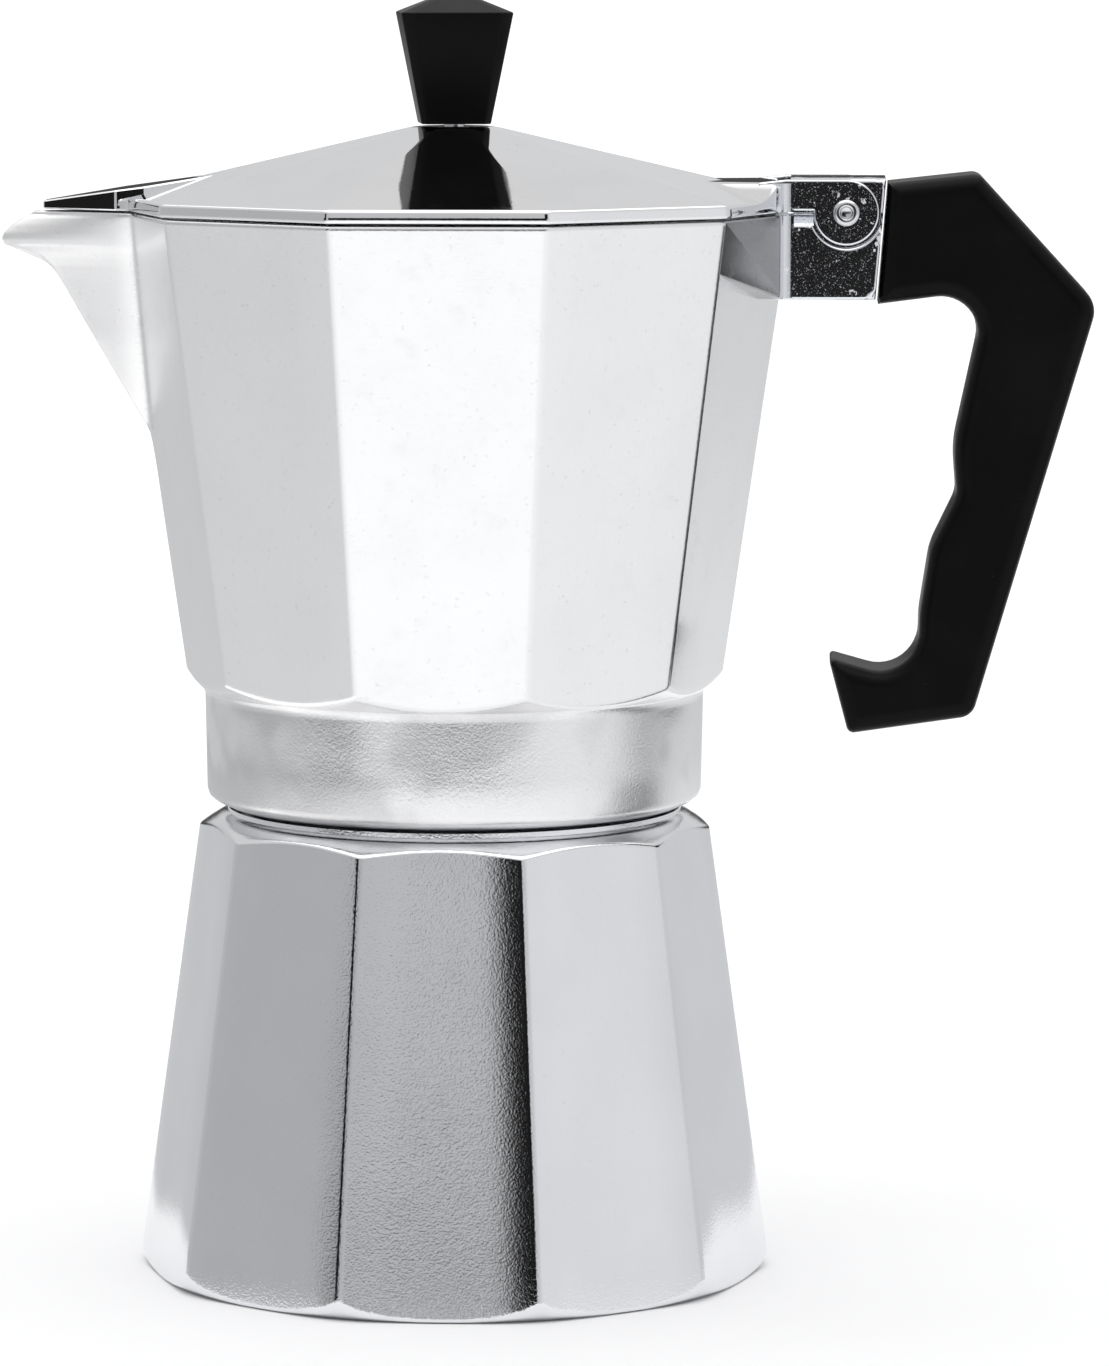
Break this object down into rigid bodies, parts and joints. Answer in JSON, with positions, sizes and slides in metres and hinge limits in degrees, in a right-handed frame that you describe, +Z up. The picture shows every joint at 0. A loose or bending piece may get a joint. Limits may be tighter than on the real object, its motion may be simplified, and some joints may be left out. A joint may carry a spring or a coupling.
{
  "type": "moka pot",
  "caption": "Ten-sided aluminium stovetop coffee pot that unscrews in the middle, with a spout, a hinged lid with a black knob and a black hooked handle.",
  "frame": {"origin": "on the pot's axis, on the boiler's flat underside", "axes": "+Z up along the pot's axis, +X towards the handle, -X towards the spout"},
  "size_m": [0.1775, 0.1068, 0.2093],
  "materials": {
    "cast_aluminium": "satin, fine cast grain",
    "polished_aluminium": "polished",
    "spun_aluminium": "satin, spun",
    "steel": "bright",
    "brass": "bright",
    "copper": "satin",
    "white_rubber": "matt",
    "black_phenolic": "semi-gloss"
  },
  "bodies": {
    "base": {"boiler": "cast_aluminium", "valve_body": "brass", "valve_washer": "copper", "valve_cap": "brass", "valve_spring": "steel", "funnel_basket": "spun_aluminium", "funnel_stem": "spun_aluminium", "funnel_sieve": "spun_aluminium"},
    "plunger": {"valve_piston": "steel"},
    "seal": {"gasket": "white_rubber", "filter_plate": "spun_aluminium"},
    "upper": {"collector": "cast_aluminium", "coffee_column": "cast_aluminium", "handle": "black_phenolic", "hinge_pin": "steel"},
    "cover": {"lid": "polished_aluminium", "lid_knob": "black_phenolic", "knob_insert": "brass", "knob_screw": "steel", "knob_washer": "steel"}
  },
  "joints": [
    {"name": "valve_lift", "type": "slide", "parent": "base", "child": "plunger", "axis": [0, 0.9914, 0.1311], "range_m": [0, 0.002], "stiffness_N_per_m": 1200, "springref_m": -0.002, "deforming": ["valve_spring"]},
    {"name": "collar_lift", "type": "slide", "parent": "base", "child": "seal", "axis": [0, 0, 1], "range_m": [0, 0.009]},
    {"name": "collar_turn", "type": "hinge", "parent": "seal", "child": "upper", "pos_m": [0, 0, 0], "axis": [0, 0, 1], "range_deg": [0, 1080]},
    {"name": "lid_hinge", "type": "hinge", "parent": "upper", "child": "cover", "pos_m": [0.0636, 0, 0.1741], "axis": [0, 1, 0], "range_deg": [0, 110]}
  ],
  "couplings": [
    {"joint": "collar_lift", "follows": "collar_turn", "m_per_rad": 0.00047746}
  ]
}
